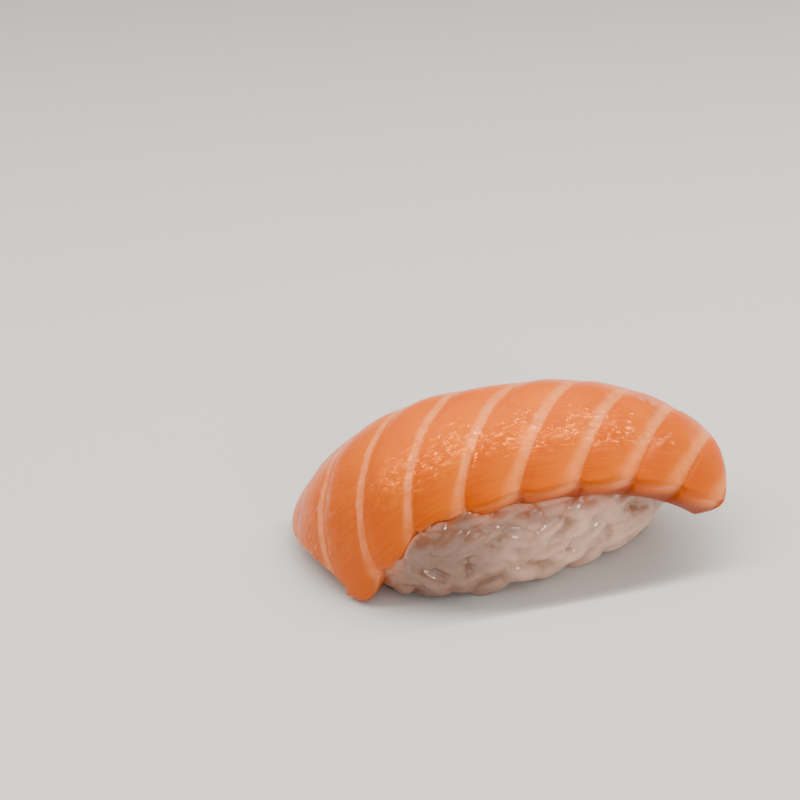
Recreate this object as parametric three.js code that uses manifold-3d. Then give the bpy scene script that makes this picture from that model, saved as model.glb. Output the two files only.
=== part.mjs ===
// Salmon nigiri: a hand-pressed oval of sushi rice with a slice of raw salmon draped over it.
// Millimetres, +Z up, +X along the slice. The rice stands flat on z = 0 and the slice droops
// past both ends of it, its left end down to the table.
import * as THREE from 'three';
import { mergeVertices } from 'three/addons/utils/BufferGeometryUtils.js';
import Module from 'manifold-3d';

// Where the middle of the finished outline lies in the frame the shapes are worked out in.
const CENTRE_X = 0.06;
const CENTRE_Y = 1.53;
const TABLE_Z = 0;
const SLICE_CLEARANCE = 0.1;

// The salmon slice, laid flat: s runs along it and t across it, + t to the back.
const SLICE_LENGTH = 84.2;
const SLICE_WIDTH = 28;
const SLICE_THICKNESS = 4.7;
const SLICE_MIDDLE_S = -3.6;
const LEFT_CUT_ANGLE = -24;
const RIGHT_CUT_ANGLE = 3.5;
const LEFT_FRONT_BOW = -1.2;
const LEFT_BACK_BOW = 1.5;
const LEFT_CORNER_RADIUS = 0.6;
const RIGHT_CORNER_RADIUS = 2;
const TIP_LENGTH = 5;
const TIP_SPREAD = 3;
const TIP_THICKNESS = 1;
const FRONT_SLOPE = 1.25;
const FRONT_SLOPE_START = 0.32;
const FRONT_NARROWING = 1.4;
const FRONT_NARROW_S = -21.6;
const FRONT_NARROW_SPREAD = 5;
const LEFT_UNDERCUT = 0.8;
const EDGE_ROUNDING = 0.4;
const WALL_BULGE = 0.2;

// How the slice lies: height of its top over the table, the bend of each end and the arch across.
const TOP_HEIGHT = 27.8;
const SLICE_MIDDLE_Y = -1.05;
const LEFT_BEND_START = -2.8;
const LEFT_BEND_RADIUS = 32.3;
const LEFT_BEND_SLANT = 9;
const RIGHT_BEND_START = 3.9;
const RIGHT_BEND_RADIUS = 45.2;
const RIGHT_BEND_SLANT = 4;
const FRONT_ARCH_RADIUS = 18.8;
const BACK_ARCH_RADIUS = 16.3;
const FORWARD_ROLL = 7.2;

// The fat lines cross the slice on a slant. A line's number is whole, counted from the left, and
// the lines fan out a little from the home line. Each band swells steeply past its left line.
const HOME_LINE = 5;
const HOME_LINE_S = -5.5;
const LINE_PITCH = 10.6;
const LINE_SLANT = 0.85;
const LINE_PITCH_GAIN = 0.06;
const LINE_CURVE = 0.009;
const LINE_PITCH_CURVE = 0.0025;
const SWELL_START = 0.13;
const SWELL_SKEW = 0.55;
const SCALLOP_DEPTH = 1.6;
const SCALLOP_MEAN = 0.95;
const BAND_BULGE = 0.25;

// The grid the slice is drawn on.
const COLUMNS = 80;
const ROWS = 16;
const ROW_CROWDING = 0.3;

// The rice: a bluntly oval heap, widest near a third of its height.
const HEAP_LENGTH = 52.8;
const HEAP_WIDTH = 24;
const HEAP_TURN = 8.4;
const HEAP_MIDDLE_X = 0.6;
const HEAP_MIDDLE_Y = 0.2;
const HEAP_BULGE_Z = 8.5;
const HEAP_RISE = 16;
const HEAP_FALL = 10.1;
const HEAP_PLAN_POWER = 2.3;
const HEAP_SIDE_POWER = 0.25;
const HEAP_COLUMNS = 36;
const HEAP_ROWS = 10;
const SLICE_GAP = 0.5;
const ROOM_HEIGHT = 10;

// Cooked short-grain rice.
const GRAIN_LENGTH = 7.6;
const GRAIN_WIDTH = 3.9;
const GRAIN_DEPTH = 3.4;
const GRAIN_SIDES = 5;
const GRAIN_RINGS = 3;
const GRAIN_LAYERS = 7;
const GRAIN_LAYER_START = 1.7;
const GRAIN_LAYER_PITCH = 3.3;
const GRAINS_PER_LAYER = 20;
const GRAIN_SINK = 0.5;
const GRAIN_SINK_RANGE = 1.2;
const GRAIN_SIZE_RANGE = 0.16;
const GRAIN_TOP_SINK = 0.2;
const GRAIN_TOP_SINK_START = 12;
const GRAIN_TILT_RANGE = 90;
const GRAIN_LIFT_RANGE = 0.35;
const GRAIN_TURN_RANGE = 0.6;
const GRAIN_CLIMB_RANGE = 1.4;

const wasm = await Module();
wasm.setup();

const radians = THREE.MathUtils.degToRad;

// A repeatable draw between 0 and 1 for item number index.
function draw(index, channel) {
  const wave = Math.sin(index * 12.9898 + channel * 78.233) * 43758.5453;
  return wave - Math.floor(wave);
}

// Position on an arc of the given radius, a distance beyond its start: forward, down and pitch.
function bend(distance, radius) {
  const travel = Math.max(distance, 0);
  const pitch = travel / radius;
  return { over: travel - radius * Math.sin(pitch), drop: radius * (1 - Math.cos(pitch)), pitch };
}

// Number of the fat line through (s, t), counted from the left; between two lines it is a fraction.
function lineNumber(s, t) {
  const start = HOME_LINE_S + LINE_SLANT * t + LINE_CURVE * t * t;
  const pitch = LINE_PITCH + LINE_PITCH_GAIN * t + LINE_PITCH_CURVE * t * t;
  return HOME_LINE + (s - start) / pitch;
}

// How far a band of muscle stands out: 0 just past a fat line, 1 a quarter of the way to the
// next and from there slowly back to 0.
function bandSwell(s, t) {
  const place = lineNumber(s, t) - SWELL_START;
  return Math.sin(Math.PI * (place - Math.floor(place)) ** SWELL_SKEW);
}

// A point of the bent slice, lowered by depth along its own downward direction.
function sheetPoint(s, t, depth) {
  const slantL = radians(LEFT_BEND_SLANT);
  const slantR = radians(RIGHT_BEND_SLANT);
  const beyondL = -((s - LEFT_BEND_START) * Math.cos(slantL) + t * Math.sin(slantL));
  const beyondR = (s - RIGHT_BEND_START) * Math.cos(slantR) + t * Math.sin(slantR);
  const left = bend(beyondL, LEFT_BEND_RADIUS);
  const right = bend(beyondR, RIGHT_BEND_RADIUS);
  const arch = t < 0 ? FRONT_ARCH_RADIUS : BACK_ARCH_RADIUS;
  const across = (arch - depth) * Math.sin(t / arch);
  const down = arch - (arch - depth) * Math.cos(t / arch);
  const point = new THREE.Vector3(
    s + left.over * Math.cos(slantL) - right.over * Math.cos(slantR),
    across + left.over * Math.sin(slantL) - right.over * Math.sin(slantR),
    -left.drop - right.drop,
  );
  const up = new THREE.Vector3(
    Math.sin(right.pitch) * Math.cos(slantR) - Math.sin(left.pitch) * Math.cos(slantL),
    Math.sin(right.pitch) * Math.sin(slantR) - Math.sin(left.pitch) * Math.sin(slantL),
    Math.cos(left.pitch) * Math.cos(right.pitch),
  );
  point.addScaledVector(up, -down);
  point.applyAxisAngle(new THREE.Vector3(1, 0, 0), radians(FORWARD_ROLL));
  point.add(new THREE.Vector3(-CENTRE_X, SLICE_MIDDLE_Y - CENTRE_Y, TOP_HEIGHT));
  return point;
}

// Flat outline of the slice: the s of its left (side -1) or right end at t. Both are cut on a
// slant with rounded corners. The left one is bowed, with its front corner drawn out to a tip.
function endS(t, side, grow) {
  const half = SLICE_WIDTH / 2 + grow;
  const cut = side < 0 ? LEFT_CUT_ANGLE : RIGHT_CUT_ANGLE;
  const radius = side < 0 ? LEFT_CORNER_RADIUS : RIGHT_CORNER_RADIUS;
  const intoCorner = Math.max(Math.abs(t) - half + radius, 0) / radius;
  const rounding = radius * (1 - Math.sqrt(Math.max(1 - intoCorner ** 2, 0)));
  const straight = SLICE_MIDDLE_S + side * (SLICE_LENGTH / 2 + grow) + Math.tan(radians(cut)) * t;
  if (side > 0) return straight - rounding;
  const bow = (t < 0 ? LEFT_FRONT_BOW : LEFT_BACK_BOW) * (t / 10) ** 2;
  const tip = TIP_LENGTH * Math.exp(-(((t + half) / TIP_SPREAD) ** 2));
  return straight + rounding + bow - tip;
}

// The flat (s, t) of grid place (u, v): u 0 to 1 along, v -1 to 1 across. The front edge draws
// in a little left of the middle. Its top, where share is 0, bulges with each band of muscle, and
// its foot, where share is 1, runs even.
function flatPlace(u, v, grow, share) {
  const half = SLICE_WIDTH / 2 + grow;
  const row = v * (1 + ROW_CROWDING - ROW_CROWDING * v * v);
  let t = row * half;
  const s = endS(t, -1, grow) * (1 - u) + endS(t, 1, grow) * u;
  if (row < 0) {
    const bulge = (1 - share) * bandSwell(s, -SLICE_WIDTH / 2) + share * SCALLOP_MEAN;
    const hollow = Math.exp(-(((s - FRONT_NARROW_S) / FRONT_NARROW_SPREAD) ** 2));
    t += row * (SCALLOP_DEPTH * bulge - FRONT_NARROWING * hollow);
  }
  return { s, t };
}

// A closed sheet: a top grid, an under grid and walls with one bulging row between them.
function closedSheet(columns, rows, topPoint, middlePoint, underPoint) {
  const rings = [];
  const positions = [];
  const indices = [];
  const stride = rows + 1;
  const layer = (columns + 1) * stride;
  for (const place of [topPoint, underPoint]) {
    for (let i = 0; i <= columns; i += 1) {
      for (let j = 0; j <= rows; j += 1) {
        positions.push(...place(i / columns, (2 * j) / rows - 1).toArray());
      }
    }
  }
  for (let i = 0; i < columns; i += 1) {
    for (let j = 0; j < rows; j += 1) {
      const a = i * stride + j;
      const b = a + stride;
      indices.push(a, b, b + 1, a, b + 1, a + 1);
      indices.push(layer + a, layer + b + 1, layer + b, layer + a, layer + a + 1, layer + b + 1);
    }
  }
  for (let i = 0; i < columns; i += 1) rings.push([i, 0]);
  for (let j = 0; j < rows; j += 1) rings.push([columns, j]);
  for (let i = columns; i > 0; i -= 1) rings.push([i, rows]);
  for (let j = rows; j > 0; j -= 1) rings.push([0, j]);
  const middle = positions.length / 3;
  for (const [i, j] of rings) {
    positions.push(...middlePoint(i / columns, (2 * j) / rows - 1).toArray());
  }
  for (let k = 0; k < rings.length; k += 1) {
    const next = (k + 1) % rings.length;
    const top = rings[k][0] * stride + rings[k][1];
    const topNext = rings[next][0] * stride + rings[next][1];
    indices.push(top, middle + k, middle + next, top, middle + next, topNext);
    indices.push(middle + k, layer + top, layer + topNext);
    indices.push(middle + k, layer + topNext, middle + next);
  }
  const geometry = new THREE.BufferGeometry();
  geometry.setAttribute('position', new THREE.Float32BufferAttribute(positions, 3));
  geometry.setIndex(indices);
  return geometry;
}

// A point of the slice's wall or under side: share is 0 at the top of the wall and 1 underneath.
// The front wall slopes outwards, except at the left end, which is cut back below.
function lowerPoint(u, v, share, grow) {
  const { s, t } = flatPlace(u, v, grow, share);
  const wider = FRONT_SLOPE * THREE.MathUtils.smoothstep(u, 0, FRONT_SLOPE_START);
  const slope = v < 0 ? 1 + (share * wider) / (SLICE_WIDTH / 2) : 1;
  return sheetPoint(s + share * LEFT_UNDERCUT * (1 - u), t * slope, share * SLICE_THICKNESS);
}

// Where a point would pass into the table, it lies flat just over it. The tip stays as thick as
// TIP_THICKNESS there, so a point near the top of the wall rests higher.
function restOnTable(point, share) {
  return point.setZ(Math.max(point.z, TABLE_Z + SLICE_CLEARANCE + (1 - share) * TIP_THICKNESS));
}

// The slice itself: swelling bands on top, a rounded cut edge and a sloping front wall.
function sliceGeometry() {
  const top = (u, v) => {
    const { s, t } = flatPlace(u, v, 0, 0);
    const onEdge = u === 0 || u === 1 || Math.abs(v) === 1;
    const depth = onEdge ? EDGE_ROUNDING : -BAND_BULGE * bandSwell(s, t);
    return restOnTable(sheetPoint(s, t, depth), 0);
  };
  const middle = (u, v) => restOnTable(lowerPoint(u, v, 0.5, WALL_BULGE), 0.5);
  const under = (u, v) => restOnTable(lowerPoint(u, v, 1, 0), 1);
  return closedSheet(COLUMNS, ROWS, top, middle, under);
}

// The room the slice takes, a little larger below and all round, and reaching high above it.
function sliceRoomGeometry() {
  const top = (u, v) => {
    const { s, t } = flatPlace(u, v, SLICE_GAP, 0);
    return sheetPoint(s, t, -ROOM_HEIGHT);
  };
  const middle = (u, v) => lowerPoint(u, v, 0.5, WALL_BULGE + SLICE_GAP);
  const under = (u, v) => lowerPoint(u, v, 1 + SLICE_GAP / SLICE_THICKNESS, SLICE_GAP);
  return closedSheet(COLUMNS, ROWS / 2, top, middle, under);
}

// Outward point of the heap's side at angle turn and height z. The oval lies at an angle of
// HEAP_TURN to the slice.
function heapPoint(turn, z) {
  const climb = (z - HEAP_BULGE_Z) / (z > HEAP_BULGE_Z ? HEAP_RISE : HEAP_FALL);
  const reach = Math.max(1 - climb * climb, 0) ** HEAP_SIDE_POWER;
  const power = 2 / HEAP_PLAN_POWER;
  const cos = Math.cos(turn);
  const sin = Math.sin(turn);
  const point = new THREE.Vector3(
    (HEAP_LENGTH / 2) * reach * Math.sign(cos) * Math.abs(cos) ** power,
    (HEAP_WIDTH / 2) * reach * Math.sign(sin) * Math.abs(sin) ** power,
    z,
  );
  point.applyAxisAngle(new THREE.Vector3(0, 0, 1), radians(HEAP_TURN));
  return point.add(new THREE.Vector3(HEAP_MIDDLE_X - CENTRE_X, HEAP_MIDDLE_Y - CENTRE_Y, 0));
}

function heapGeometry() {
  const positions = [];
  const indices = [];
  const top = HEAP_BULGE_Z + HEAP_RISE;
  for (let j = 0; j < HEAP_ROWS; j += 1) {
    const z = TABLE_Z + (top * Math.sin(((Math.PI / 2) * j) / HEAP_ROWS));
    for (let i = 0; i < HEAP_COLUMNS; i += 1) {
      positions.push(...heapPoint((2 * Math.PI * i) / HEAP_COLUMNS, z).toArray());
    }
  }
  const floor = positions.length / 3;
  positions.push(...heapPoint(0, top).setZ(TABLE_Z).toArray());
  const peak = floor + 1;
  positions.push(...heapPoint(0, top).toArray());
  for (let i = 0; i < HEAP_COLUMNS; i += 1) {
    const next = (i + 1) % HEAP_COLUMNS;
    indices.push(floor, next, i);
    const last = (HEAP_ROWS - 1) * HEAP_COLUMNS;
    indices.push(peak, last + i, last + next);
    for (let j = 0; j < HEAP_ROWS - 1; j += 1) {
      const row = j * HEAP_COLUMNS;
      const above = row + HEAP_COLUMNS;
      indices.push(row + i, row + next, above + next, row + i, above + next, above + i);
    }
  }
  const geometry = new THREE.BufferGeometry();
  geometry.setAttribute('position', new THREE.Float32BufferAttribute(positions, 3));
  geometry.setIndex(indices);
  return geometry;
}

// A draw spread evenly about 0, over the given range.
function spread(index, channel, range) {
  return range * (draw(index, channel) - 0.5);
}

// Grain number index, lying along the heap's side at angle turn and height z. The grains near
// the top are pressed deeper into the heap.
function grainGeometry(index, turn, z) {
  const geometry = new THREE.SphereGeometry(0.5, GRAIN_SIDES, GRAIN_RINGS + 1);
  const scale = 1 + spread(index, 1, GRAIN_SIZE_RANGE);
  geometry.scale(GRAIN_WIDTH * scale, GRAIN_LENGTH * scale, GRAIN_DEPTH * scale);
  const step = 0.02;
  const point = heapPoint(turn, z);
  const along = heapPoint(turn + step, z).sub(heapPoint(turn - step, z)).normalize();
  const upward = heapPoint(turn, z + step).sub(heapPoint(turn, z - step)).normalize();
  const outward = along.clone().cross(upward).normalize();
  upward.copy(outward).cross(along);
  const tilt = radians(spread(index, 2, GRAIN_TILT_RANGE));
  const long = along.clone().multiplyScalar(Math.cos(tilt)).addScaledVector(upward, Math.sin(tilt));
  long.addScaledVector(outward, spread(index, 3, GRAIN_LIFT_RANGE)).normalize();
  const short = outward.clone().cross(long).normalize();
  const thin = short.clone().cross(long).normalize();
  const sink = GRAIN_SINK + GRAIN_TOP_SINK * Math.max(z - GRAIN_TOP_SINK_START, 0);
  point.addScaledVector(outward, spread(index, 4, GRAIN_SINK_RANGE) - sink);
  const frame = new THREE.Matrix4().makeBasis(short, long, thin);
  frame.setPosition(point);
  geometry.applyMatrix4(frame);
  return geometry;
}

// Every grain that shows: layers round the side, each turned against the one below.
function grainGeometries() {
  const grains = [];
  for (let layer = 0; layer < GRAIN_LAYERS; layer += 1) {
    for (let n = 0; n < GRAINS_PER_LAYER; n += 1) {
      const index = layer * GRAINS_PER_LAYER + n;
      const place = n + 0.5 * (layer % 2) + spread(index, 5, GRAIN_TURN_RANGE);
      const turn = (2 * Math.PI * place) / GRAINS_PER_LAYER;
      const level = GRAIN_LAYER_START + GRAIN_LAYER_PITCH * layer;
      grains.push(grainGeometry(index, turn, level + spread(index, 6, GRAIN_CLIMB_RANGE)));
    }
  }
  return grains;
}

function toManifold(geometry) {
  const bare = new THREE.BufferGeometry();
  bare.setAttribute('position', geometry.getAttribute('position'));
  bare.setIndex(geometry.index);
  const merged = mergeVertices(bare, 1e-5);
  const mesh = new wasm.Mesh({
    numProp: 3,
    vertProperties: new Float32Array(merged.getAttribute('position').array),
    triVerts: new Uint32Array(merged.index.array),
  });
  return new wasm.Manifold(mesh);
}

// The shell of a mesh that reaches furthest: loose scraps and sealed hollows are left out.
function outerShell(mesh) {
  const { numProp, vertProperties, triVerts } = mesh;
  const owner = Array.from({ length: vertProperties.length / numProp }, (_, i) => i);
  const find = (i) => {
    let root = i;
    while (owner[root] !== root) root = owner[root];
    owner[i] = root;
    return root;
  };
  const byPlace = new Map();
  for (let i = 0; i < owner.length; i += 1) {
    const place = vertProperties.slice(i * numProp, i * numProp + 3).join(' ');
    if (byPlace.has(place)) owner[i] = byPlace.get(place);
    else byPlace.set(place, i);
  }
  for (let k = 0; k < triVerts.length; k += 3) {
    owner[find(triVerts[k])] = find(triVerts[k + 1]);
    owner[find(triVerts[k + 1])] = find(triVerts[k + 2]);
  }
  const counts = new Map();
  for (let k = 0; k < triVerts.length; k += 3) {
    const root = find(triVerts[k]);
    counts.set(root, (counts.get(root) ?? 0) + 1);
  }
  const largest = [...counts].sort((a, b) => b[1] - a[1])[0][0];
  const kept = [];
  for (let k = 0; k < triVerts.length; k += 3) {
    if (find(triVerts[k]) === largest) kept.push(triVerts[k], triVerts[k + 1], triVerts[k + 2]);
  }
  const geometry = new THREE.BufferGeometry();
  geometry.setAttribute('position', new THREE.Float32BufferAttribute(vertProperties, numProp));
  geometry.setIndex(kept);
  return geometry;
}

function riceGeometry() {
  let rice = toManifold(heapGeometry());
  for (const grain of grainGeometries()) rice = rice.add(toManifold(grain));
  const below = new THREE.BoxGeometry(2 * HEAP_LENGTH, 2 * HEAP_LENGTH, 2 * HEAP_RISE);
  below.translate(0, 0, TABLE_Z - HEAP_RISE);
  rice = rice.subtract(toManifold(below));
  rice = rice.subtract(toManifold(sliceRoomGeometry()));
  return outerShell(rice.getMesh());
}

function addPart(group, name, geometry, material) {
  const flat = geometry.toNonIndexed();
  flat.computeVertexNormals();
  const mesh = new THREE.Mesh(flat, material);
  mesh.name = name;
  group.add(mesh);
}

const nigiri = new THREE.Group();
nigiri.name = 'salmon_nigiri';

const riceMaterial = new THREE.MeshStandardMaterial({ color: 0xdccbbb, roughness: 0.35, metalness: 0 });
const salmonMaterial = new THREE.MeshStandardMaterial({ color: 0xe5823f, roughness: 0.3, metalness: 0 });

addPart(nigiri, 'rice', riceGeometry(), riceMaterial);
addPart(nigiri, 'salmon_slice', sliceGeometry(), salmonMaterial);

export default nigiri;
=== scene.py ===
"""Salmon nigiri: an oval of pressed sushi rice with a slice of raw salmon draped over it.

Every shape is worked out in millimetres, in the part's own frame, and goes into its mesh in
metres. The slice is a flat sheet, s along it and t across it, bent down at both ends and arched
over the rice. The rice is a heap of separate grains held together by their own starch.
"""
from types import SimpleNamespace

import bpy
import numpy as np
from mathutils import Matrix


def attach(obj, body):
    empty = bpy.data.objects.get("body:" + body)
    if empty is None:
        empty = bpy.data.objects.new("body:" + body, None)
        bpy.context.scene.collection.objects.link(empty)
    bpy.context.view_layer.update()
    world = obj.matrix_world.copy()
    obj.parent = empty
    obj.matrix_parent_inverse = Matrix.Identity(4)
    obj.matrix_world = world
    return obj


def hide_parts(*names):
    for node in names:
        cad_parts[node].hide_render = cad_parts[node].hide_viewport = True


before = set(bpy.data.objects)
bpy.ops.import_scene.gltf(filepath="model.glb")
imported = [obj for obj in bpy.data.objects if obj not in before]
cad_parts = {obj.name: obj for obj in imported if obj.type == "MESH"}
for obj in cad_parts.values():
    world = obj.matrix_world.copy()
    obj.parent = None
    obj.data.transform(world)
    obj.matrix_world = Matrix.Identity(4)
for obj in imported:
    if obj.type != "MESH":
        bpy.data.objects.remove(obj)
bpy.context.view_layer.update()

MM = 0.001

# Middle of the part's outline in the frame the shapes are worked out in.
CENTRE_X = 0.06
CENTRE_Y = 1.53

# The salmon slice, laid flat.
SLICE_LENGTH = 84.2
SLICE_WIDTH = 28.0
SLICE_THICKNESS = 4.7
SLICE_MIDDLE_S = -3.6
LEFT_CUT_ANGLE = -24.0
RIGHT_CUT_ANGLE = 3.5
LEFT_FRONT_BOW = -1.2
LEFT_BACK_BOW = 1.5
BOW_DISTANCE = 10.0
LEFT_CORNER_RADIUS = 0.6
RIGHT_CORNER_RADIUS = 2.0
TIP_LENGTH = 5.0
TIP_SPREAD = 3.0
TIP_THICKNESS = 1.0
FRONT_SLOPE = 1.25
FRONT_SLOPE_START = 0.32
FRONT_NARROWING = 1.4
FRONT_NARROW_S = -21.6
FRONT_NARROW_SPREAD = 5.0
LEFT_UNDERCUT = 0.8
EDGE_RADIUS = 0.3
SOFT_EDGE = 1.1
SOFT_EDGE_ROW = 0.5
SOFT_EDGE_END = 0.1
WALL_BULGE = 0.2
WALL_ROUNDNESS = 0.7
SLICE_CLEARANCE = 0.1

# How the slice lies on the rice.
TOP_HEIGHT = 27.8
SLICE_MIDDLE_Y = -1.05
LEFT_BEND_START = -2.8
LEFT_BEND_RADIUS = 32.3
LEFT_BEND_SLANT = 9.0
RIGHT_BEND_START = 3.9
RIGHT_BEND_RADIUS = 45.2
RIGHT_BEND_SLANT = 4.0
FRONT_ARCH_RADIUS = 18.8
BACK_ARCH_RADIUS = 16.3
FORWARD_ROLL = 7.2

# The fat lines across the slice, and the bands of muscle that swell between them.
HOME_LINE = 5.0
HOME_LINE_S = -5.5
LINE_PITCH = 10.6
LINE_PITCH_GAIN = 0.06
LINE_PITCH_CURVE = 0.0025
LINE_SLANT = 0.85
LINE_CURVE = 0.009
SWELL_START = 0.13
SWELL_SKEW = 0.55
SCALLOP_DEPTH = 1.6
SCALLOP_MEAN = 0.95
BAND_BULGE = 0.25

# Fine relief on the slice: heights, wavelengths and the seeds of the ripples. The crinkles lie
# on the shoulder along the crest.
UNEVEN_HEIGHT = 0.09
UNEVEN_WAVE = 9.0
UNEVEN_SEED = 3
FIBRE_HEIGHT = 0.016
FIBRE_WAVE = 1.2
FIBRE_STRETCH = 0.2
FIBRE_SEED = 21
CRINKLE_HEIGHT = 0.02
CRINKLE_WAVE = 2.6
CRINKLE_SEED = 41
CRINKLE_DRIFT = 0.8
CRINKLE_DRIFT_WAVE = 5.1
CRINKLE_DRIFT_SEED = 51
SHOULDER_T = -4.5
SHOULDER_SPREAD = 5.0
SHOULDER_START_S = -34.0
SHOULDER_FULL_S = -20.0
RELIEF_MARGIN = 1.5

# The grid the slice is drawn on.
COLUMNS = 360
ROWS = 100
WALL_RINGS = 7
ROW_CROWDING = 0.3
COLUMN_CROWDING = 0.2

# The rice heap, widest near a third of its height.
HEAP_LENGTH = 52.8
HEAP_WIDTH = 24.0
HEAP_TURN = 8.4
HEAP_MIDDLE_X = 0.6
HEAP_MIDDLE_Y = 0.2
HEAP_BULGE_Z = 8.5
HEAP_RISE = 16.0
HEAP_FALL = 10.1
HEAP_PLAN_POWER = 2.3
HEAP_SIDE_POWER = 0.25
CORE_SHRINK = 0.6
CORE_COLUMNS = 72
CORE_ROWS = 14

# Cooked short-grain rice.
GRAIN_LENGTH = 7.6
GRAIN_WIDTH = 3.9
GRAIN_DEPTH = 3.4
GRAIN_BLUNTNESS = 2.3
GERM_START = 0.55
GERM_TAPER = 0.10
GERM_NOTCH = 0.16
LUMP_ALONG = 0.05
LUMP_ROUND = 0.04
LUMP_WAVE = 3.1
LUMP_PHASE = 6.0
GRAIN_BEND = 0.16
GRAIN_BEND_BIAS = 0.35
GRAIN_SEGMENTS = 14
GRAIN_RINGS = 11

# How the grains lie: in layers, with fillings between and behind the outer ones.
GRAIN_LAYERS = 7
GRAIN_LAYER_START = 1.7
GRAIN_LAYER_PITCH = 3.3
GRAINS_PER_LAYER = 20
GRAIN_SINK = 0.5
GRAIN_SINK_RANGE = 1.2
GRAIN_SIZE_RANGE = 0.16
GRAIN_TOP_SINK = 0.2
GRAIN_TOP_SINK_START = 12.0
GRAIN_TOP_MARGIN = 0.6
GRAIN_TILT_RANGE = 90.0
GRAIN_LIFT_RANGE = 0.35
GRAIN_TURN_RANGE = 0.6
GRAIN_CLIMB_RANGE = 1.4
FILLING_RAISE = 0.5
FILLING_SHIFT = 0.25
FILLING_NUMBERS = 500.0
FILLING_SINK = 0.95
DEEPER_FILLING_SINK = 1.2
SLOPE_STEP = 0.02
TINY = 1e-6
FUSED_VOXEL = 0.28
FUSED_SMOOTHING = 4
FUSED_EASE = 0.5
LOOSE_SHARE = 0.2
LOOSE_LIFT = 0.05
LEAST_LIFT = 0.4

# The room under the slice, kept as a map of heights seen from above.
CEILING_CELL = 0.4
CEILING_SIZE = 220
CEILING_SHARES = (1.0, 0.8, 0.6, 0.4, 0.2)
CEILING_CLEARANCE = 0.05
CEILING_REACH = 2
CEILING_STEEPNESS = 5.0
OPEN_SKY = 1000.0
OPEN_GAP = 12.0
# How far from the slice the rice's stain, painted shade and painted bounce light reach.
STAIN_AND_SHADE_REACH = 3.5

# Colours of the raw salmon.
# The front colours are darker than the back ones: painted shade on the side turned from the overhead
# light, over the flesh's own colour.
FRONT_DEEP_SHADED = (0.52, 0.072, 0.0, 1.0)
FRONT_PALE_SHADED = (0.74, 0.145, 0.0, 1.0)
BACK_DEEP = (0.83, 0.138, 0.0, 1.0)
BACK_PALE = (0.87, 0.170, 0.0, 1.0)
# Painted shade: the left end, turned away from the light, is darker and browner.
LEFT_END_SHADED_FLESH = (0.58, 0.108, 0.016, 1.0)
STREAK = (0.80, 0.195, 0.0, 1.0)
CLOUD = (0.66, 0.08, 0.0, 1.0)
# Painted shade on the cut side, the wall and the underside, which face down and away from the light.
CUT_SIDE_SHADE = (0.26, 0.027, 0.0, 1.0)
FAT = (0.97, 0.30, 0.09, 1.0)
# Painted shade on the fat at the left end.
LEFT_END_SHADED_FAT = (0.88, 0.26, 0.105, 1.0)
# A painted highlight for the lit upper edge of the cut side.
RIM_HIGHLIGHT = (0.95, 0.29, 0.08, 1.0)
SALMON_GLOSS = (1.0, 0.22, 0.0, 1.0)

# Colours of the cooked rice.
RICE_CLEAR = (0.60, 0.33, 0.22, 1.0)
RICE_HEART = (0.76, 0.45, 0.31, 1.0)
RICE_TONE = (0.80, 0.58, 0.43, 1.0)
# Painted shade in the creases between grains.
RICE_CREASE_SHADE = (0.40, 0.20, 0.13, 1.0)
# Painted shade at the foot of the heap, where less light reaches.
RICE_FOOT_SHADE = (0.54, 0.37, 0.30, 1.0)
# Painted light: the right side of the heap is made paler.
RICE_RIGHT_LIGHT = (0.88, 0.60, 0.45, 1.0)
# Painted shade: the left side of the heap, under the slice's overhang, is made dark and warm.
RICE_LEFT_SHADE = (0.20, 0.075, 0.038, 1.0)
# Painted shade on the upper right of the heap, under the slice.
RICE_RIGHT_TOP_SHADE = (0.34, 0.13, 0.065, 1.0)
# Near the slice the rice is stained by the fish and also carries painted shade and painted orange
# light bounced from it.
RICE_UNDER_SLICE_STAIN_AND_SHADE = (0.52, 0.18, 0.085, 1.0)
# Where it meets the slice: a stain from the fish together with painted orange bounce light.
RICE_AT_SLICE_STAIN_AND_BOUNCE = (0.62, 0.12, 0.02, 1.0)

# The table, the sky and the camera. The spot is where the table below the part's middle lies in
# the picture, in pixels from its left and its top.
FLOOR_REACH = 1500.0
FLOOR_COLOUR = (0.66, 0.65, 0.64, 1.0)
SKY_COLOUR = (0.95, 0.97, 1.0, 1.0)
SKY_STRENGTH = 0.13
SKY_SEEN_EXTRA = 0.35
CAMERA_TURN = -15.0
CAMERA_TILT = 32.0
CAMERA_DISTANCE = 217.0
PICTURE_PIXELS = 800.0
FOCAL_PIXELS = 1300.0
SPOT_RIGHT = 510.0
SPOT_DOWN = 545.0
SENSOR_WIDTH = 36.0


# ---------------------------------------------------------------- numbers

def draw(index, channel):
    """A repeatable draw between 0 and 1: the fraction of a very steep sine of the item's number."""
    wave = np.sin(index * 12.9898 + channel * 78.233) * 43758.5453
    return wave - np.floor(wave)


def spread(index, channel, width):
    """A draw spread evenly about 0 over the given width."""
    return width * (draw(index, channel) - 0.5)


def smooth_step(value, low, high):
    """0 below low and 1 above high, with an even S between them."""
    share = np.clip((value - low) / (high - low), 0.0, 1.0)
    return share * share * (3.0 - 2.0 * share)


def ripple(a, b, wavelength, seed):
    """An uneven surface of height about -1 to 1 over (a, b): seven sine waves of nearly the same
    wavelength, each in its own direction, added and scaled."""
    height = np.zeros(np.broadcast(a, b).shape)
    for wave in range(7):
        turn = np.pi * (wave + draw(wave + seed, 11)) / 7
        number = 2 * np.pi / (wavelength * (0.75 + 0.5 * draw(wave + seed, 12)))
        phase = 2 * np.pi * draw(wave + seed, 13)
        height = height + np.sin(number * (a * np.cos(turn) + b * np.sin(turn)) + phase)
    return height / 4.0


def crowd(place, amount):
    """Places from -1 to 1, moved so that even steps of them stand closer towards both ends."""
    return place * (1.0 + amount - amount * place * place)


# ---------------------------------------------------------------- the slice's form

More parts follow.
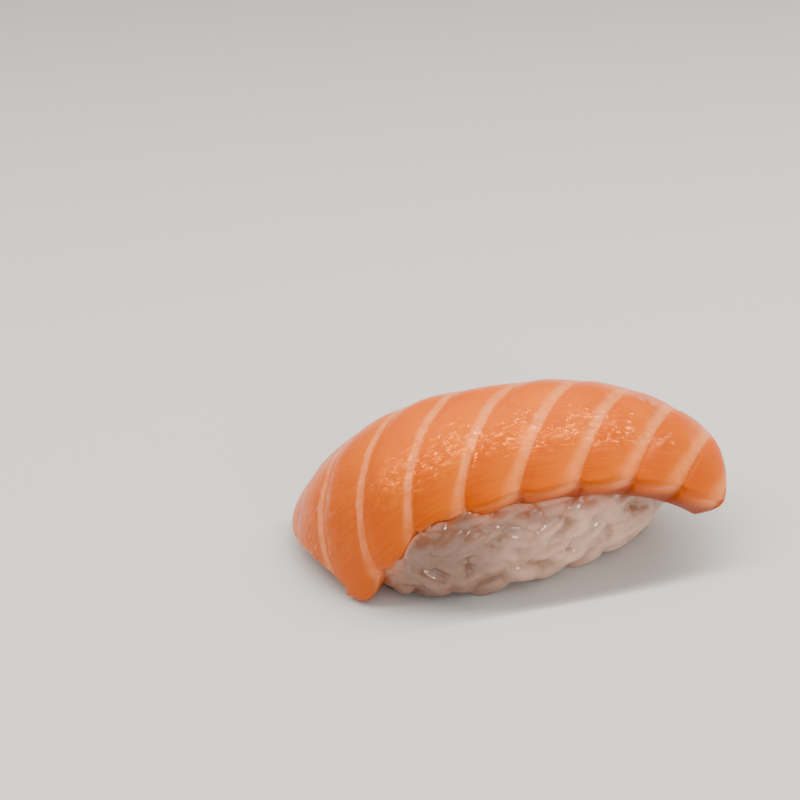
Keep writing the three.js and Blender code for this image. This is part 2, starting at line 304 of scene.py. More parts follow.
def bend(distance, radius):
    """Along an arc of the radius, a distance past its start: how far short of straight ahead it
    ends up, how far it has dropped, and its pitch."""
    travel = np.maximum(distance, 0.0)
    pitch = travel / radius
    return travel - radius * np.sin(pitch), radius * (1.0 - np.cos(pitch)), pitch


def line_number(s, t):
    """Number of the fat line through (s, t), counted from the left. The home line runs back on a
    slant with a slight curve, and the spacing to the next line grows towards the back."""
    start = HOME_LINE_S + LINE_SLANT * t + LINE_CURVE * t * t
    pitch = LINE_PITCH + LINE_PITCH_GAIN * t + LINE_PITCH_CURVE * t * t
    return HOME_LINE + (s - start) / pitch


def band_swell(s, t):
    """How far a band of muscle stands out: 0 just past a fat line, 1 a quarter of the way to the
    next and from there slowly back to 0. It is the sine of a power of the place in the band."""
    place = line_number(s, t) - SWELL_START
    return np.sin(np.pi * (place - np.floor(place)) ** SWELL_SKEW)


def sheet_point(s, t, depth):
    """A point of the bent slice. The sheet turns down on an arc past each bend line and arches
    across on another arc, then rolls forward; depth lowers the point inside those arcs."""
    slant_l, slant_r = np.radians(LEFT_BEND_SLANT), np.radians(RIGHT_BEND_SLANT)
    beyond_l = -((s - LEFT_BEND_START) * np.cos(slant_l) + t * np.sin(slant_l))
    beyond_r = (s - RIGHT_BEND_START) * np.cos(slant_r) + t * np.sin(slant_r)
    over_l, drop_l, pitch_l = bend(beyond_l, LEFT_BEND_RADIUS)
    over_r, drop_r, pitch_r = bend(beyond_r, RIGHT_BEND_RADIUS)
    arch = np.where(t < 0, FRONT_ARCH_RADIUS, BACK_ARCH_RADIUS)
    across = (arch - depth) * np.sin(t / arch)
    down = arch - (arch - depth) * np.cos(t / arch)
    up_x = np.sin(pitch_r) * np.cos(slant_r) - np.sin(pitch_l) * np.cos(slant_l)
    up_y = np.sin(pitch_r) * np.sin(slant_r) - np.sin(pitch_l) * np.sin(slant_l)
    up_z = np.cos(pitch_l) * np.cos(pitch_r)
    x = s + over_l * np.cos(slant_l) - over_r * np.cos(slant_r) - down * up_x
    y = across + over_l * np.sin(slant_l) - over_r * np.sin(slant_r) - down * up_y
    z = -drop_l - drop_r - down * up_z
    roll = np.radians(FORWARD_ROLL)
    return np.stack([
        x - CENTRE_X,
        y * np.cos(roll) - z * np.sin(roll) + SLICE_MIDDLE_Y - CENTRE_Y,
        y * np.sin(roll) + z * np.cos(roll) + TOP_HEIGHT,
    ], axis=-1)


def end_s(t, side, grow):
    """The s of the slice's left (side -1) or right end at t. Both are cut on a slant with rounded
    corners. The left one is bowed, with its front corner drawn out to a tip."""
    half = SLICE_WIDTH / 2 + grow
    cut = LEFT_CUT_ANGLE if side < 0 else RIGHT_CUT_ANGLE
    radius = LEFT_CORNER_RADIUS if side < 0 else RIGHT_CORNER_RADIUS
    into_corner = np.maximum(np.abs(t) - half + radius, 0.0) / radius
    rounding = radius * (1.0 - np.sqrt(np.maximum(1.0 - into_corner ** 2, 0.0)))
    straight = SLICE_MIDDLE_S + side * (SLICE_LENGTH / 2 + grow) + np.tan(np.radians(cut)) * t
    if side > 0:
        return straight - rounding
    bow = np.where(t < 0, LEFT_FRONT_BOW, LEFT_BACK_BOW) * (t / BOW_DISTANCE) ** 2
    tip = TIP_LENGTH * np.exp(-((t + half) / TIP_SPREAD) ** 2)
    return straight + rounding + bow - tip


def flat_place(u, v, grow, share):
    """Flat (s, t) of grid place (u, v): u 0 to 1 along, v -1 to 1 across with the rows crowded
    towards the edges. The front edge draws in a little left of the middle. Its top, where share
    is 0, bulges with each band of muscle, and its foot, where share is 1, runs even."""
    half = SLICE_WIDTH / 2 + grow
    row = crowd(v, ROW_CROWDING)
    t = row * half
    s = end_s(t, -1, grow) * (1.0 - u) + end_s(t, 1, grow) * u
    bulge = (1.0 - share) * band_swell(s, -SLICE_WIDTH / 2) + share * SCALLOP_MEAN
    hollow = np.exp(-((s - FRONT_NARROW_S) / FRONT_NARROW_SPREAD) ** 2)
    reach = SCALLOP_DEPTH * bulge - FRONT_NARROWING * hollow
    return s, np.where(row < 0, t + row * reach, t)


def lower_point(u, v, share, grow):
    """A point of the slice's wall or under side, share 0 at the top of the wall and 1 underneath.
    The front wall slopes outwards, except at the left end, which is cut back below."""
    s, t = flat_place(u, v, grow, share)
    wider = FRONT_SLOPE * smooth_step(u, 0.0, FRONT_SLOPE_START)
    slope = np.where(v < 0, 1.0 + share * wider / (SLICE_WIDTH / 2), 1.0)
    return sheet_point(s + share * LEFT_UNDERCUT * (1.0 - u), t * slope, share * SLICE_THICKNESS)


def rest_on_table(points, share):
    """Where a point would pass into the table, it lies flat just over it. The tip stays as thick
    as TIP_THICKNESS there, so a point near the top of the wall rests higher."""
    points[..., 2] = np.maximum(points[..., 2], SLICE_CLEARANCE + (1.0 - share) * TIP_THICKNESS)
    return points


def crowded(count, amount):
    """Places from 0 to 1 that stand closer together towards both ends."""
    return 0.5 + 0.5 * crowd(np.linspace(-1.0, 1.0, count + 1), amount)


# ---------------------------------------------------------------- meshes

def new_mesh(name, points, quads, triangles=None):
    """An object at the origin from points in millimetres and index arrays of quads and triangles."""
    mesh = bpy.data.meshes.new(name)
    faces = [quads] if triangles is None else [quads, triangles]
    corners = np.concatenate([part.ravel() for part in faces]).astype(np.int32)
    sizes = np.concatenate([np.full(len(part), part.shape[1]) for part in faces]).astype(np.int32)
    starts = np.concatenate([[0], np.cumsum(sizes)[:-1]]).astype(np.int32)
    mesh.vertices.add(len(points))
    mesh.vertices.foreach_set("co", (points * MM).astype(np.float32).ravel())
    mesh.loops.add(len(corners))
    mesh.loops.foreach_set("vertex_index", corners)
    mesh.polygons.add(len(sizes))
    mesh.polygons.foreach_set("loop_start", starts)
    mesh.polygons.foreach_set("loop_total", sizes)
    mesh.update(calc_edges=True)
    mesh.validate()
    mesh.polygons.foreach_set("use_smooth", np.ones(len(mesh.polygons), bool))
    piece = bpy.data.objects.new(name, mesh)
    bpy.context.scene.collection.objects.link(piece)
    return piece


def set_values(piece, name, values):
    """A number for each vertex, kept on the mesh under the given name."""
    attribute = piece.data.attributes.new(name, "FLOAT", "POINT")
    attribute.data.foreach_set("value", values.astype(np.float32).ravel())


def points_of(piece):
    """The piece's vertices in millimetres."""
    flat = np.zeros(len(piece.data.vertices) * 3, np.float32)
    piece.data.vertices.foreach_get("co", flat)
    return flat.reshape(-1, 3).astype(float) / MM


def move_points(piece, points):
    """Puts the vertices at new places, given in millimetres."""
    piece.data.vertices.foreach_set("co", (points * MM).astype(np.float32).ravel())
    piece.data.update()


# ---------------------------------------------------------------- the salmon slice

def slice_relief(s, t):
    """How far the top stands above the plain sheet: the swelling bands, a slow unevenness, fine
    fibres that run along the slice, and crinkles on its shoulder. The last two fade at the fat
    lines."""
    swell = band_swell(s, t)
    slow = UNEVEN_HEIGHT * ripple(s, t, UNEVEN_WAVE, UNEVEN_SEED)
    fibres = FIBRE_HEIGHT * ripple(FIBRE_STRETCH * s, t, FIBRE_WAVE, FIBRE_SEED) * swell
    drift = CRINKLE_DRIFT * ripple(s, t, CRINKLE_DRIFT_WAVE, CRINKLE_DRIFT_SEED)
    crinkles = CRINKLE_HEIGHT * ripple(s + drift, t, CRINKLE_WAVE, CRINKLE_SEED)
    shoulder = np.exp(-((t - SHOULDER_T) / SHOULDER_SPREAD) ** 2)
    shoulder = shoulder * smooth_step(s, SHOULDER_START_S, SHOULDER_FULL_S)
    return BAND_BULGE * swell + slow + fibres + crinkles * shoulder * swell


def edge_radius(u, v, s):
    """Rounding of the cut edge: small, but wider along the front where a band stands out most, so
    that the crease there runs out softly and is crisp again at the next fat line."""
    soft = band_swell(s, -SLICE_WIDTH / 2) * smooth_step(-v, SOFT_EDGE_ROW, 1.0)
    inside_ends = smooth_step(u, 0.0, SOFT_EDGE_END) * smooth_step(1 - u, 0.0, SOFT_EDGE_END)
    return EDGE_RADIUS + SOFT_EDGE * soft * inside_ends


def edge_ring():
    """Numbers of the grid's outer points, once round: along the front, across the right end, back
    along the rear and across the left end."""
    stride = ROWS + 1
    along, side = np.arange(COLUMNS), np.arange(ROWS)
    return np.concatenate([
        along * stride,
        COLUMNS * stride + side,
        (COLUMNS - along) * stride + ROWS,
        ROWS - side,
    ])


def slice_quads(ring):
    """Quads of the top grid, the under grid and the wall that joins them. The points of the top
    grid come first, then those of the under grid and then each ring of the wall."""
    stride = ROWS + 1
    layer = (COLUMNS + 1) * stride
    i, j = np.meshgrid(np.arange(COLUMNS), np.arange(ROWS), indexing="ij")
    a = (i * stride + j).ravel()
    top = np.stack([a, a + stride, a + stride + 1, a + 1], axis=1)
    under = np.stack([a, a + 1, a + stride + 1, a + stride], axis=1) + layer
    count = len(ring)
    rings = [ring] + [2 * layer + k * count + np.arange(count) for k in range(WALL_RINGS)]
    rings.append(ring + layer)
    wall = [
        np.stack([upper, lower, np.roll(lower, -1), np.roll(upper, -1)], axis=1)
        for upper, lower in zip(rings[:-1], rings[1:])
    ]
    return np.concatenate([top, under] + wall)


def build_slice():
    """The draped slice: a top grid and an under grid of the same size, joined round the edge by
    rings that follow the rounded cut."""
    u, v = np.meshgrid(crowded(COLUMNS, COLUMN_CROWDING), np.linspace(-1, 1, ROWS + 1),
                       indexing="ij")
    s, t = flat_place(u, v, 0.0, 0.0)
    to_side = np.minimum(SLICE_WIDTH / 2 * (1 - np.abs(crowd(v, ROW_CROWDING))),
                         np.minimum(s - end_s(t, -1, 0.0), end_s(t, 1, 0.0) - s))
    radius = edge_radius(u, v, s)
    inside = np.clip(1.0 - np.maximum(to_side, 0.0) / radius, 0.0, 1.0)
    rounding = radius * (1.0 - np.sqrt(1.0 - inside ** 2))
    relief = slice_relief(s, t) * smooth_step(to_side, 0.0, RELIEF_MARGIN)
    top = rest_on_table(sheet_point(s, t, rounding - relief), 0.0)
    under = rest_on_table(lower_point(u, v, 1.0, 0.0), 1.0)

    ring = edge_ring()
    ring_u, ring_v = u.ravel()[ring], v.ravel()[ring]
    start = radius.ravel()[ring] / SLICE_THICKNESS
    shares, walls, wall_flat = [], [], []
    for k in range(1, WALL_RINGS + 1):
        share = start + (1.0 - start) * k / (WALL_RINGS + 1)
        bulge = WALL_BULGE * np.sin(np.pi * share) ** WALL_ROUNDNESS
        shares.append(share)
        walls.append(rest_on_table(lower_point(ring_u, ring_v, share, bulge), share))
        wall_flat.append(np.stack(flat_place(ring_u, ring_v, bulge, share), axis=-1))
    points = np.concatenate([top.reshape(-1, 3), under.reshape(-1, 3)] + walls)
    piece = new_mesh("salmon_flesh", points, slice_quads(ring))

    flat = np.stack([s, t], axis=-1).reshape(-1, 2)
    flat = np.concatenate([flat, flat] + wall_flat)
    depth = np.concatenate([np.zeros(s.size), np.ones(s.size)] + shares)
    edge = np.concatenate([to_side.ravel(), np.zeros(len(points) - s.size)])
    set_values(piece, "from_edge", edge)
    set_values(piece, "along", flat[:, 0])
    set_values(piece, "across", flat[:, 1])
    set_values(piece, "line", line_number(flat[:, 0], flat[:, 1]))
    set_values(piece, "cut_side", depth)
    return piece


# ---------------------------------------------------------------- the rice

def heap_reach(z, least):
    """Width of the heap at height z, as a share of its widest. What the power is taken of never
    goes under least."""
    climb = (z - HEAP_BULGE_Z) / np.where(z > HEAP_BULGE_Z, HEAP_RISE, HEAP_FALL)
    return np.maximum(1.0 - climb * climb, least) ** HEAP_SIDE_POWER


def heap_point(turn, z):
    """Outward point of the heap's side at angle turn and height z: a blunt oval in plan, at an
    angle of HEAP_TURN to the slice, that draws in above and below its widest height."""
    reach = heap_reach(z, 0.0)
    power = 2.0 / HEAP_PLAN_POWER
    cos, sin = np.cos(turn), np.sin(turn)
    x = HEAP_LENGTH / 2 * reach * np.sign(cos) * np.abs(cos) ** power
    y = HEAP_WIDTH / 2 * reach * np.sign(sin) * np.abs(sin) ** power
    heap_turn = np.radians(HEAP_TURN)
    return np.stack([
        HEAP_MIDDLE_X - CENTRE_X + x * np.cos(heap_turn) - y * np.sin(heap_turn),
        HEAP_MIDDLE_Y - CENTRE_Y + x * np.sin(heap_turn) + y * np.cos(heap_turn),
        np.broadcast_to(z, x.shape),
    ], axis=-1)


def beyond_heap(points):
    """How far points lie outside the heap's plain side. It is the share by which their oval is
    wider than the one of the plain side at their height, times that side's distance inwards."""
    heap_turn = np.radians(HEAP_TURN)
    dx = points[..., 0] - HEAP_MIDDLE_X + CENTRE_X
    dy = points[..., 1] - HEAP_MIDDLE_Y + CENTRE_Y
    x = dx * np.cos(heap_turn) + dy * np.sin(heap_turn)
    y = dy * np.cos(heap_turn) - dx * np.sin(heap_turn)
    reach = heap_reach(points[..., 2], 0.01)
    oval = (np.abs(2 * x / HEAP_LENGTH) ** HEAP_PLAN_POWER
            + np.abs(2 * y / HEAP_WIDTH) ** HEAP_PLAN_POWER) ** (1 / HEAP_PLAN_POWER)
    return np.hypot(x, y) * (1.0 - reach / np.maximum(oval, 0.01))


def unit(vectors):
    """The vectors at length one."""
    return vectors / np.linalg.norm(vectors, axis=-1, keepdims=True)


def grain_frames(filling):
    """Number, centre, three axes and size of each grain. The grains lie in layers round the heap,
    each turned, tilted and sunk by its own draws. Those near the top are pressed in deeper. The
    filling ones, numbered 1 and 2, lie between and behind the others, shifted along and up."""
    layer, n = np.meshgrid(np.arange(GRAIN_LAYERS), np.arange(GRAINS_PER_LAYER), indexing="ij")
    layer = layer.ravel() + FILLING_RAISE * filling
    n = n.ravel() + FILLING_SHIFT * filling
    index = np.arange(len(n)) + FILLING_NUMBERS * filling
    place = n + 0.5 * (np.floor(layer) % 2) + spread(index, 5, GRAIN_TURN_RANGE)
    turn = 2 * np.pi * place / GRAINS_PER_LAYER
    z = GRAIN_LAYER_START + GRAIN_LAYER_PITCH * layer + spread(index, 6, GRAIN_CLIMB_RANGE)
    z = np.minimum(z, HEAP_BULGE_Z + HEAP_RISE - GRAIN_TOP_MARGIN)
    along = unit(heap_point(turn + SLOPE_STEP, z) - heap_point(turn - SLOPE_STEP, z))
    upward = unit(heap_point(turn, z + SLOPE_STEP) - heap_point(turn, z - SLOPE_STEP))
    outward = unit(np.cross(along, upward))
    upward = np.cross(outward, along)
    tilt = np.radians(spread(index, 2, GRAIN_TILT_RANGE))[:, None]
    long = along * np.cos(tilt) + upward * np.sin(tilt)
    long = unit(long + outward * spread(index, 3, GRAIN_LIFT_RANGE)[:, None])
    short = unit(np.cross(outward, long))
    thin = unit(np.cross(short, long))
    sink = GRAIN_SINK + GRAIN_TOP_SINK * np.maximum(z - GRAIN_TOP_SINK_START, 0.0)
    sink = (sink, FILLING_SINK, DEEPER_FILLING_SINK)[filling]
    centre = heap_point(turn, z) + outward * (spread(index, 4, GRAIN_SINK_RANGE) - sink)[:, None]
    size = 1.0 + spread(index, 1, GRAIN_SIZE_RANGE)
    return index, centre, short, long, thin, size


def grain_points(frames, segments, rings):
    """Vertices of every grain, as (grain, vertex, xyz). A grain is a long round body with blunt
    ends, slightly bent, flattened on one side and nicked at one end, where the germ was."""
    index, centre, short, long, thin, size = frames
    height = np.concatenate([[-1.0], -np.cos(np.pi * np.arange(1, rings + 1) / (rings + 1)), [1.0]])
    girth = np.maximum(1.0 - np.abs(height) ** GRAIN_BLUNTNESS, 0.0) ** 0.5
    ring_height = np.repeat(height[1:-1], segments)
    ring_girth = np.repeat(girth[1:-1], segments)
    angle = np.tile(2 * np.pi * np.arange(segments) / segments, rings)
    y = np.concatenate([[-1.0], ring_height, [1.0]])
    x = np.concatenate([[0.0], ring_girth * np.cos(angle), [0.0]])
    z = np.concatenate([[0.0], ring_girth * np.sin(angle), [0.0]])
    nick = smooth_step(y, GERM_START, 1.0)
    x = x * (1.0 - GERM_TAPER * nick) - GERM_NOTCH * nick
    grain = index[:, None]
    lumps = 1.0 + LUMP_ALONG * np.sin(LUMP_WAVE * y + LUMP_PHASE * draw(grain, 31)) \
        + LUMP_ROUND * np.sin(2.0 * np.arctan2(z, x + TINY) + LUMP_PHASE * draw(grain, 32))
    bent = GRAIN_BEND * (draw(grain, 33) - GRAIN_BEND_BIAS) * (1.0 - y * y)
    px = (x * lumps + bent) * GRAIN_WIDTH / 2
    py = np.broadcast_to(y * GRAIN_LENGTH / 2, px.shape)
    pz = z * lumps * GRAIN_DEPTH / 2
    local = np.stack([px, py, pz], axis=-1) * size[:, None, None]
    axes = np.stack([short, long, thin], axis=1)
    return centre[:, None, :] + np.einsum("gvk,gkc->gvc", local, axes)


def grain_faces(count, segments, rings):
    """Quads between the rings and triangles at the two tips, for every grain in turn."""
    k = np.arange(segments)
    nxt = (k + 1) % segments
    quads = [np.stack([1 + r * segments + k, 1 + (r + 1) * segments + k,
                       1 + (r + 1) * segments + nxt, 1 + r * segments + nxt], axis=1)
             for r in range(rings - 1)]
    last = rings * segments + 1
    tips = [np.stack([0 * k, 1 + k, 1 + nxt], axis=1),
            np.stack([last + 0 * k, last - segments + nxt, last - segments + k], axis=1)]
    shift = (np.arange(count) * (last + 1))[:, None, None]
    quads = (np.concatenate(quads)[None] + shift).reshape(-1, 4)
    tips = (np.concatenate(tips)[None] + shift).reshape(-1, 3)
    return quads, tips


def heap_core(columns, rows):
    """The bare heap without its grains, a little smaller all round."""
    turn = 2 * np.pi * np.arange(columns) / columns
    z = (HEAP_BULGE_Z + HEAP_RISE) * np.sin(np.pi / 2 * np.arange(rows) / rows)
    turns, heights = np.meshgrid(turn, z, indexing="xy")
    body = heap_point(turns, heights).reshape(-1, 3)
    middle = np.array([HEAP_MIDDLE_X - CENTRE_X, HEAP_MIDDLE_Y - CENTRE_Y, 0.0])
    top = middle + np.array([0.0, 0.0, HEAP_BULGE_Z + HEAP_RISE])
    points = np.concatenate([body, middle[None], top[None]])
    points[:, :2] += (middle - points)[:, :2] * 2 * CORE_SHRINK / HEAP_WIDTH
    k = np.arange(columns)
    nxt = (k + 1) % columns
    quads = np.concatenate([
        np.stack([r * columns + k, r * columns + nxt, (r + 1) * columns + nxt,
                  (r + 1) * columns + k], axis=1) for r in range(rows - 1)])
    floor, peak, last = rows * columns, rows * columns + 1, (rows - 1) * columns
    fans = np.concatenate([np.stack([floor + 0 * k, nxt, k], axis=1),
                           np.stack([peak + 0 * k, last + k, last + nxt], axis=1)])
    return points, quads, fans


def ceiling_map():
    """Height of the lowest part of the slice, its walls included, on a square grid of cells seen
    from above. Just outside the slice it rises steeply, so that no grain squeezes past a wall."""
    u, v = np.meshgrid(np.linspace(0, 1, 1200), np.linspace(-1, 1, 500), indexing="ij")
    heights = np.full((CEILING_SIZE, CEILING_SIZE), OPEN_SKY)
    for share in CEILING_SHARES:
        points = lower_point(u, v, share, 0.0)
        cell = np.round(points[..., :2] / CEILING_CELL).astype(int) + CEILING_SIZE // 2
        places = (cell[..., 0].ravel(), cell[..., 1].ravel())
        np.minimum.at(heights, places, points[..., 2].ravel() - CEILING_CLEARANCE)
    spreading = heights.copy()
    steps = range(-CEILING_REACH, CEILING_REACH + 1)
    for a in steps:
        for b in steps:
            rise = CEILING_STEEPNESS * CEILING_CELL * np.hypot(a, b)
            spreading = np.minimum(spreading, np.roll(heights, (a, b), (0, 1)) + rise)
    return spreading


def press(points, heights):
    """Rice pressed flat where it would pass into the slice above or the table below, and how far
    below the slice each point then lies. The height of the slice is read between the four
    nearest cells of its map."""
    place = points[..., :2] / CEILING_CELL + CEILING_SIZE // 2
    low = np.floor(place).astype(int)
    part = place - low
    corner = [heights[low[..., 0] + a, low[..., 1] + b] for a in (0, 1) for b in (0, 1)]
    left = corner[0] * (1 - part[..., 1]) + corner[1] * part[..., 1]
    right = corner[2] * (1 - part[..., 1]) + corner[3] * part[..., 1]
    ceiling = left * (1 - part[..., 0]) + right * part[..., 0]
    pressed = points.copy()
    pressed[..., 2] = np.clip(points[..., 2], 0.0, np.maximum(ceiling, 0.0))
    return pressed, np.where(ceiling < OPEN_SKY / 10, ceiling - pressed[..., 2], OPEN_GAP)


def fuse(piece):
    """Makes one skin of everything in the piece, smoothed so that it fills the creases."""
    remesh = piece.modifiers.new("fuse", "REMESH")
    remesh.mode = "VOXEL"
    remesh.voxel_size = FUSED_VOXEL * MM
    remesh.use_smooth_shade = True
    soften = piece.modifiers.new("soften", "SMOOTH")
    soften.factor = FUSED_EASE
    soften.iterations = FUSED_SMOOTHING
    evaluated = piece.evaluated_get(bpy.context.evaluated_depsgraph_get())
    fused = bpy.data.meshes.new_from_object(evaluated)
    piece.modifiers.clear()
    rough = piece.data
    piece.data = fused
    bpy.data.meshes.remove(rough)
    fused.name = piece.name


def set_rice_values(piece, points, gap):
    """What the rice's material reads: how near the slice a point lies, 1 where they meet, and how
    far it stands out of the heap's plain side."""
    set_values(piece, "under_slice", np.exp(-np.maximum(gap, 0.0) / STAIN_AND_SHADE_REACH))
    set_values(piece, "relief", beyond_heap(points))


def build_rice():
    """The heap in two pieces: the grains stuck together by their starch, all fused into one
    skin, and some of the outer grains again, lifted by a few hundredths of a millimetre."""
    heights = ceiling_map()
    grains, between, behind = [
        grain_points(grain_frames(filling), GRAIN_SEGMENTS, GRAIN_RINGS) for filling in range(3)
    ]
    every = np.concatenate([grains, between, behind])
    quads, tips = grain_faces(len(every), GRAIN_SEGMENTS, GRAIN_RINGS)
    core, core_quads, core_fans = heap_core(CORE_COLUMNS, CORE_ROWS)
    flat = every.reshape(-1, 3)
    fused = new_mesh("rice_together", np.concatenate([flat, core]),
                     np.concatenate([quads, core_quads + len(flat)]),
                     np.concatenate([tips, core_fans + len(flat)]))
    fuse(fused)
    pressed, gap = press(points_of(fused), heights)
    move_points(fused, pressed)
    set_rice_values(fused, pressed, gap)

    index, _, _, _, thin, _ = grain_frames(0)
    loose = draw(index, 42) < LOOSE_SHARE
    outward = -thin[loose][:, None, :]
    lift_share = LEAST_LIFT + (1.0 - LEAST_LIFT) * draw(index[loose], 43)
    lift = LOOSE_LIFT * lift_share[:, None, None]
    quads, tips = grain_faces(int(loose.sum()), GRAIN_SEGMENTS, GRAIN_RINGS)
    pressed, gap = press(grains[loose] + outward * lift, heights)
    piece = new_mesh("rice_loose_grains", pressed.reshape(-1, 3), quads, tips)
    set_rice_values(piece, pressed, gap)
    tone = np.repeat(draw(index[loose], 41), grains.shape[1])
    set_values(piece, "grain_tone", tone)
    return piece, fused


# ---------------------------------------------------------------- materials

def new_material(name):
    """A material with an empty tree, its Principled shader and its output."""
    material = bpy.data.materials.new(name)
    material.use_nodes = True
    tree = material.node_tree
    tree.nodes.clear()
    shader = tree.nodes.new("ShaderNodeBsdfPrincipled")
    output = tree.nodes.new("ShaderNodeOutputMaterial")
    tree.links.new(shader.outputs["BSDF"], output.inputs["Surface"])
    return material, tree, shader


def plug(tree, value, socket):
    """Links a socket, or sets a plain value."""
    if isinstance(value, bpy.types.NodeSocket):
        tree.links.new(value, socket)
    else:
        socket.default_value = value


def maths(tree, operation, *values):
    """The result of a maths node on one to three values."""
    node = tree.nodes.new("ShaderNodeMath")
    node.operation = operation
    for value, socket in zip(values, node.inputs):
        plug(tree, value, socket)
    return node.outputs[0]


def multiply(tree, first, second):
    """The product of two values."""
    return maths(tree, "MULTIPLY", first, second)


def vector_maths(tree, operation, first, second, output="Vector"):
    """The result of a vector maths node on two vectors, read from the named output."""
    node = tree.nodes.new("ShaderNodeVectorMath")
    node.operation = operation
    plug(tree, first, node.inputs[0])
    plug(tree, second, node.inputs[1])
    return node.outputs[output]


def ramp(tree, value, low, high, to_low=0.0, to_high=1.0):
    """A smooth step of a value between low and high."""
    node = tree.nodes.new("ShaderNodeMapRange")
    node.interpolation_type = "SMOOTHSTEP"
    for socket, number in zip(("Value", "From Min", "From Max", "To Min", "To Max"),
                              (value, low, high, to_low, to_high)):
        plug(tree, number, node.inputs[socket])
    return node.outputs["Result"]


def mix(tree, share, first, second):
    """One colour going over to another."""
    node = tree.nodes.new("ShaderNodeMix")
    node.data_type = "RGBA"
    plug(tree, share, node.inputs["Factor"])
    plug(tree, first, node.inputs["A"])
    plug(tree, second, node.inputs["B"])
    return node.outputs["Result"]


def mesh_value(tree, name):
    """The value that the mesh keeps under a name."""
    node = tree.nodes.new("ShaderNodeAttribute")
    node.attribute_name = name
    return node.outputs["Fac"]


def vector(tree, x, y, z):
    """A vector of three values."""
    node = tree.nodes.new("ShaderNodeCombineXYZ")
    for value, socket in zip((x, y, z), node.inputs):
        plug(tree, value, socket)
    return node.outputs["Vector"]


def noise(tree, place, scale, detail=3.0, roughness=0.5, distortion=0.0):
    """Cloudy noise, about 0.5 on average, with so many clouds a millimetre as scale says."""
    node = tree.nodes.new("ShaderNodeTexNoise")
    plug(tree, place, node.inputs["Vector"])
    node.inputs["Scale"].default_value = scale
    node.inputs["Detail"].default_value = detail
    node.inputs["Roughness"].default_value = roughness
    node.inputs["Distortion"].default_value = distortion
    return node.outputs["Fac"]


def facets(tree, place, scale):
    """Height of a surface of flat cells, each tilted its own way: the distance from the cell's
    centre times the cell's random direction."""
    cells = tree.nodes.new("ShaderNodeTexVoronoi")
    cells.inputs["Scale"].default_value = scale
    plug(tree, place, cells.inputs["Vector"])
    from_centre = vector_maths(tree, "SUBTRACT", place, cells.outputs["Position"])
    direction = vector_maths(tree, "SUBTRACT", cells.outputs["Color"], (0.5, 0.5, 0.5))
    return vector_maths(tree, "DOT_PRODUCT", from_centre, direction, "Value")


def bump(tree, height, distance, strength=1.0, normal=None):
    """A normal bent by a height, laid over another normal where one is given. The distance, in
    metres, is how far a height of 1 stands out."""
    node = tree.nodes.new("ShaderNodeBump")
    node.inputs["Strength"].default_value = strength
    node.inputs["Distance"].default_value = distance
    plug(tree, height, node.inputs["Height"])
    if normal is not None:
        plug(tree, normal, node.inputs["Normal"])
    return node.outputs["Normal"]


def flesh_place(tree):
    """Where a point of the slice lies: along and across the flat sheet, how far down its cut side,
    the place these make in millimetres, and the number of the fat line, made to wander."""
    along, across = mesh_value(tree, "along"), mesh_value(tree, "across")
    cut_side = mesh_value(tree, "cut_side")
    place = vector(tree, along, across, multiply(tree, cut_side, SLICE_THICKNESS))
    wander = maths(tree, "SUBTRACT", noise(tree, place, 0.22), 0.5)
    ragged = maths(tree, "SUBTRACT", noise(tree, place, 1.3), 0.5)
    number = maths(tree, "MULTIPLY_ADD", wander, 0.08,
                   maths(tree, "MULTIPLY_ADD", ragged, 0.045, mesh_value(tree, "line")))
    return SimpleNamespace(along=along, across=across, cut_side=cut_side, place=place,
                           number=number, through=maths(tree, "FRACT", number))


def fat_share(tree, at):
    """Share of fat at a place. A line is crisp on its right and fades on its left, more so towards
    the right and the front, where it spreads into a pale patch."""
    nearest = maths(tree, "FLOOR", maths(tree, "ADD", at.number, 0.5))
    beside = maths(tree, "SUBTRACT", at.number, nearest)
    flare = ramp(tree, at.across, -8.5, -14.0, 0.0, 0.16)
    softness = maths(tree, "ADD", ramp(tree, at.along, -30.0, 20.0, 0.05, 0.20), flare)
    rise = maths(tree, "ADD", beside, maths(tree, "ADD", softness, 0.05))
    left = ramp(tree, maths(tree, "DIVIDE", rise, softness), 0.0, 1.0)
    right = ramp(tree, maths(tree, "SUBTRACT", 0.07, beside), -0.03, 0.035)
    fat = multiply(tree, left, right)
    patches = ramp(tree, noise(tree, at.place, 0.45, 4.0, 0.6), 0.32, 0.62, 0.55, 1.0)
    thinner = ramp(tree, at.across, -3.0, -13.0, 1.0, 0.62)
    on_top = ramp(tree, at.cut_side, 0.05, 0.5, 1.0, 0.0)
    whole = ramp(tree, at.number, 1.4, 1.7)
    for part in (patches, thinner, on_top, whole):
        fat = multiply(tree, fat, part)
    return fat


